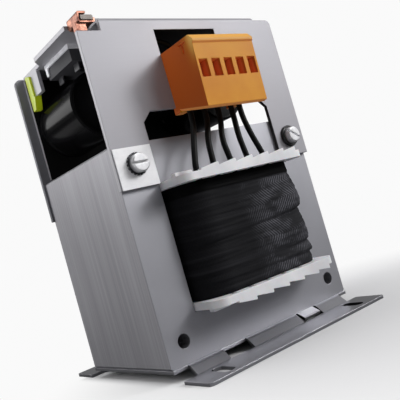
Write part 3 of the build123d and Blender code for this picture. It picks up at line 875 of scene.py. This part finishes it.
def place_mesh(name: str, shape: bmesh.types.BMesh) -> bpy.types.Object:
    """Turn a finished bmesh into an object of the scene.

    Args:
        name: The object's name.
        shape: The shape, already in its place; it is freed.

    Returns:
        The object, at the origin and unturned.
    """
    mesh = bpy.data.meshes.new(name)
    shape.to_mesh(mesh)
    shape.free()
    made = bpy.data.objects.new(name, mesh)
    bpy.context.scene.collection.objects.link(made)
    return made


@dataclass(frozen=True)
class Turn:
    """One visible turn of tape, in millimetres.

    Attributes:
        low: Height of its lower edge at X = 0.
        climb: How much that edge climbs for each millimetre towards +X.
        reach: How far it stands out on the right.
    """

    low: float
    climb: float
    reach: float


@dataclass(frozen=True)
class CoilWrap:
    """The woven tape round the coil, with the folds of its overlapping turns."""

    corner: float = 14 * MM
    thickness: float = 0.8 * MM
    inset: float = 0.4 * MM
    hem: float = 1.5 * MM
    limb_clearance: Span = (1 * MM, 7 * MM)
    around: int = 360
    rows: int = 130
    seed: float = 3.7
    # In millimetres along X: where the edges stop climbing, and where either side starts to swell
    climb_end: float = 37.0
    right_side: Span = (4.0, 32.0)
    left_side: Span = (10.0, 36.0)
    left_share: float = 0.35
    turns: tuple[Turn, ...] = (
        Turn(29.0, 0.0, 0.2), Turn(35.0, 0.0, 1.5), Turn(39.6, 0.04, 1.3),
        Turn(55.2, 0.09, 2.1), Turn(76.2, 0.0, 0.0), Turn(82.5, 0.0, 0.0))

    def outline(self, width: float, depth: float, share: float) -> tuple[Vector, Vector]:
        """Walk round the rounded rectangle.

        Args:
            width: Full size along X.
            depth: Full size along Y.
            share: 0 to 1 once round, from the middle of the rear.

        Returns:
            The point and its outward direction, both flat.
        """
        corner = self.corner
        rear, side, bend = width / 2 - corner, depth - 2 * corner, math.pi / 2 * corner
        runs = [rear, bend, side, bend, 2 * rear, bend, side, bend, rear]
        far = share * sum(runs)
        place = Vector((0.0, depth / 2, 0.0))
        heading = 0.0
        for index, run in enumerate(runs):
            step = min(far, run)
            if index % 2 == 0:
                place += step * Vector((math.cos(heading), -math.sin(heading), 0.0))
            else:
                centre = place - corner * Vector((math.sin(heading), math.cos(heading), 0.0))
                heading += step / corner
                place = centre + corner * Vector((math.sin(heading), math.cos(heading), 0.0))
            far -= step
            if far <= 0:
                break
        return place, Vector((math.sin(heading), math.cos(heading), 0.0))

    def perimeter(self, width: float, depth: float) -> float:
        """Length once round."""
        return 2 * (width + depth) - 8 * self.corner + 2 * math.pi * self.corner

    def turn_at(self, spot: Vector, level: float) -> tuple[float, float, float]:
        """Find the turn of tape at a point.

        Args:
            spot: Flat position on the outline.
            level: Height, in metres.

        Returns:
            Height above the turn's lower edge, the turn's own height (both in millimetres), and
            how far it stands out on the right.
        """
        sway = 1.3 * noise.noise(Vector((spot.x * 26, spot.y * 26, self.seed)))
        sway += 0.5 * noise.noise(Vector((spot.x * 90, spot.y * 90, 2.0)))
        across = max(-self.climb_end, min(self.climb_end, spot.x / MM))
        height = level / MM
        edges = [turn.low + turn.climb * across + sway for turn in self.turns]
        index = 0
        for candidate in range(len(edges) - 1):
            if height >= edges[candidate]:
                index = candidate
        return height - edges[index], edges[index + 1] - edges[index], self.turns[index].reach

    def swell(self, spot: Vector, level: float) -> float:
        """How far the tape stands off its plain outline; within the core's window it lies flat.

        Args:
            spot: Flat position on the outline.
            level: Height, in metres.

        Returns:
            The outward offset, in metres.
        """
        out_of_core = ramp(abs(spot.y), *beyond(HALF_STACK, self.limb_clearance))
        above, tall, reach = self.turn_at(spot, level)
        share = ramp(above, 0.0, tall)
        # Fuller low down in each turn, where it laps over the one below
        full = math.sin(math.pi * share ** 0.46) ** 0.75 if share < 1 else 0.0
        right = ramp(spot.x / MM, *self.right_side)
        left = ramp(-spot.x / MM, *self.left_side) * self.left_share
        amount = 0.3 + (right ** 1.4 + left) * reach
        lumps = 1 + 0.4 * noise.noise(Vector((spot.x * 30, spot.y * 30, tall)))
        crease = 0.22 * noise.noise(Vector((spot.x * 22, spot.y * 22, level / MM * 0.5)))
        crease += 0.16 * noise.noise(Vector((spot.x * 60, spot.y * 60, level / MM * 1.1)))
        return (full * amount * lumps + crease) * out_of_core * MM

    def roll(self) -> bmesh.types.BMesh:
        """Roll a grid round the coil and fold it; its UV map runs along and across the tape.

        Returns:
            The wrap without a wall, facing outwards.
        """
        low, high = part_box("coil_tape")
        width, depth, height = high.x - low.x, high.y - low.y, high.z - low.z
        length = self.perimeter(width, depth)
        shape = bmesh.new()
        bmesh.ops.create_grid(shape, x_segments=self.around, y_segments=self.rows, size=0.5)
        tape = shape.loops.layers.uv.new("Tape")
        for face in shape.faces:
            face.smooth = True
            for loop in face.loops:
                share = loop.vert.co.x + 0.5
                level = low.z + (loop.vert.co.y + 0.5) * height
                place, _ = self.outline(width, depth, min(share, 1.0))
                loop[tape].uv = (share * length, self.turn_at(place, level)[0] * MM)
        for vertex in shape.verts:
            share, level = vertex.co.x + 0.5, low.z + (vertex.co.y + 0.5) * height
            place, outward = self.outline(width - 2 * self.inset, depth - 2 * self.inset,
                                          min(share, 1.0))
            tuck = min(1.0, min(level - low.z, high.z - level) / self.hem)
            spot = place + outward * self.swell(place, level) * tuck
            vertex.co = Vector((spot.x, spot.y, level))
        bmesh.ops.remove_doubles(shape, verts=shape.verts, dist=0.001 * MM)
        bmesh.ops.recalc_face_normals(shape, faces=shape.faces)
        if sum(face.normal.dot(face.calc_center_median()) for face in shape.faces) < 0:
            bmesh.ops.reverse_faces(shape, faces=shape.faces)
        return shape

    def build(self, palette: Palette) -> None:
        """Wrap the coil; the piece stands for the plain CAD sleeve.

        Args:
            palette: Where its finish comes from.
        """
        piece = place_mesh("coil_wrap", self.roll())
        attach(piece, "root")
        wall = piece.modifiers.new("wall", "SOLIDIFY")
        wall.thickness = self.thickness
        wall.offset = -1.0
        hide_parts("coil_tape")
        palette.dress(piece, TAPE_BLACK)
        LOG.info("coil wrap: %d faces", len(piece.data.polygons))


# ------------------------------------------------------------------ studio


@dataclass(frozen=True)
class Softbox:
    """One rectangular lamp."""

    name: str
    place: Place
    aim: Place
    size: Span
    power: float
    spread: float = math.pi

    def hang(self) -> None:
        """Hang the lamp and point it at its aim."""
        data = bpy.data.lights.new(self.name, "AREA")
        data.shape = "RECTANGLE"
        data.size, data.size_y = self.size
        data.energy = self.power
        data.spread = self.spread
        lamp = bpy.data.objects.new(self.name, data)
        lamp.location = self.place
        heading = Vector(self.aim) - Vector(self.place)
        lamp.rotation_mode = "QUATERNION"
        lamp.rotation_quaternion = heading.to_track_quat("-Z", "Y")
        bpy.context.scene.collection.objects.link(lamp)


@dataclass(frozen=True)
class Pool:
    """A round place on the floor with an eased rim."""

    centre: Span
    rim: Span

    def outside(self, recipe: Recipe) -> Signal:
        """Mask that rises from 0 within the rim to 1 beyond it.

        Args:
            recipe: The material being mixed.

        Returns:
            The mask.
        """
        x, y, _ = recipe.place
        away = ((x - self.centre[0]) ** 2 + (y - self.centre[1]) ** 2) ** 0.5
        return away.over(*self.rim)


@dataclass(frozen=True)
class Floor:
    """Pale floor that reads as white and keeps the soft shadow."""

    white: float
    half_size: float = 6.0
    paper: Colour = (0.71, 0.71, 0.72)
    grey: Colour = (0.16, 0.16, 0.165)
    near_grey: Colour = (0.40, 0.40, 0.41)
    rear_grey: Colour = (0.85, 0.85, 0.86)
    near: Pool = Pool((-0.22, -0.10), (0.12, 0.28))
    rear: Pool = Pool((-0.30, 0.50), (0.15, 0.36))
    shadow: Pool = Pool((0.06, -0.08), (0.08, 0.195))
    footprint_x: Span = (0.066, 0.058)
    footprint_y: Span = (0.053, 0.047)

    def mix(self) -> bpy.types.Material:
        """Grey to the lamps' bounced light, white with a soft shadow to the camera.

        Returns:
            The material.
        """
        recipe = Recipe("floor")
        x, y, _ = recipe.place
        grey = recipe.blend(self.near.outside(recipe), self.near_grey, self.grey)
        grey = recipe.blend(self.rear.outside(recipe), self.rear_grey, grey)
        bounce = recipe.node("ShaderNodeBsdfDiffuse", sockets={"Color": grey})
        paper = recipe.node("ShaderNodeBsdfDiffuse", sockets={"Color": self.paper})
        lift = recipe.node("ShaderNodeEmission",
                           sockets={"Color": (1.0, 1.0, 1.0), "Strength": self.white})
        under = abs(x).over(*self.footprint_x) * abs(y).over(*self.footprint_y)
        share = self.shadow.outside(recipe) * (1 - under)
        sheet = recipe.node("ShaderNodeMixShader", sockets={0: share, 1: paper, 2: lift})
        seen = recipe.node("ShaderNodeLightPath", out="Is Camera Ray")
        return recipe.show(recipe.node("ShaderNodeMixShader",
                                       sockets={0: seen, 1: bounce, 2: sheet}))

    def lay(self) -> None:
        """Lay the floor as a backdrop."""
        shape = bmesh.new()
        bmesh.ops.create_grid(shape, x_segments=2, y_segments=2, size=self.half_size)
        ground = place_mesh("floor", shape)
        ground.data.materials.append(self.mix())


@dataclass(frozen=True)
class Studio:
    """Camera, lamps, white surroundings and floor."""

    eye: Place = (-190.4 * MM, -252.74 * MM, 61.95 * MM)
    yaw: float = 0.668
    pitch: float = 0.042
    roll: float = -0.280
    lens: float = 52.56
    sensor: float = 36.0
    sight: Span = (0.01, 50.0)
    white: float = 0.955
    even: float = 0.20
    lamps: tuple[Softbox, ...] = (
        Softbox("key", (0.80, -1.15, 0.86), (0.0, 0.0, 0.08), (0.9, 0.8), 9.5),
        Softbox("spot", (1.02, -1.12, 0.80), (0.0, 0.0, 0.08), (0.3, 0.3), 6.5),
        Softbox("lift", (-0.30, -0.08, 0.006), (-0.045, 0.005, 0.135), (0.08, 0.08), 0.026,
                spread=0.42),
        Softbox("right", (1.20, -0.75, 0.62), (0.0, 0.0, 0.10), (0.8, 0.6), 4.5),
        Softbox("rear_left", (-0.95, 0.95, 0.66), (0.0, 0.0, 0.10), (1.1, 0.75), 8.5),
        Softbox("top", (-0.05, 0.05, 1.05), (0.0, 0.0, 0.10), (0.8, 0.8), 5.0),
    )

    def camera(self) -> None:
        """Set up the camera, rolled about its own line of sight."""
        forward = Vector((math.sin(self.yaw) * math.cos(self.pitch),
                          math.cos(self.yaw) * math.cos(self.pitch), math.sin(self.pitch)))
        right = Vector((math.cos(self.yaw), -math.sin(self.yaw), 0.0))
        up = right.cross(forward)
        turned_right = right * math.cos(self.roll) + up * math.sin(self.roll)
        turned_up = up * math.cos(self.roll) - right * math.sin(self.roll)
        data = bpy.data.cameras.new("camera")
        data.lens = self.lens
        data.sensor_width = self.sensor
        data.clip_start, data.clip_end = self.sight
        camera = bpy.data.objects.new("camera", data)
        axes = Matrix((turned_right, turned_up, -forward)).transposed()
        camera.matrix_world = Matrix.Translation(self.eye) @ axes.to_4x4()
        bpy.context.scene.collection.objects.link(camera)
        bpy.context.scene.camera = camera

    def surroundings(self) -> None:
        """Even grey light all round, which the camera sees as white."""
        world = bpy.data.worlds.new("surroundings")
        world.use_nodes = True
        bpy.context.scene.world = world
        sky = Bench(world.node_tree)
        seen = sky.node("ShaderNodeLightPath", out="Is Camera Ray")
        even, bright = (sky.node("ShaderNodeBackground",
                                 sockets={"Color": (1.0, 1.0, 1.0), "Strength": strength})
                        for strength in (self.even, self.white))
        both = sky.node("ShaderNodeMixShader", sockets={0: seen, 1: even, 2: bright})
        sky.add("ShaderNodeOutputWorld", sockets={"Surface": both})

    def build(self) -> None:
        """Set the whole studio up."""
        bpy.context.scene.view_settings.view_transform = "Standard"
        self.camera()
        self.surroundings()
        Floor(self.white).lay()
        for lamp in self.lamps:
            lamp.hang()


def main() -> None:
    """Dress the CAD nodes, build the added piece and set the studio up."""
    logging.basicConfig(level=logging.INFO, format="%(name)s: %(message)s")
    palette = Palette()
    for name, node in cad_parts.items():
        if name in NODE_FINISHES:
            palette.dress(node, NODE_FINISHES[name])
            LOG.info("dressed %s: %d triangles", name, len(node.data.polygons))
    CoilWrap().build(palette)
    Studio().build()


if __name__ == "__main__":
    main()
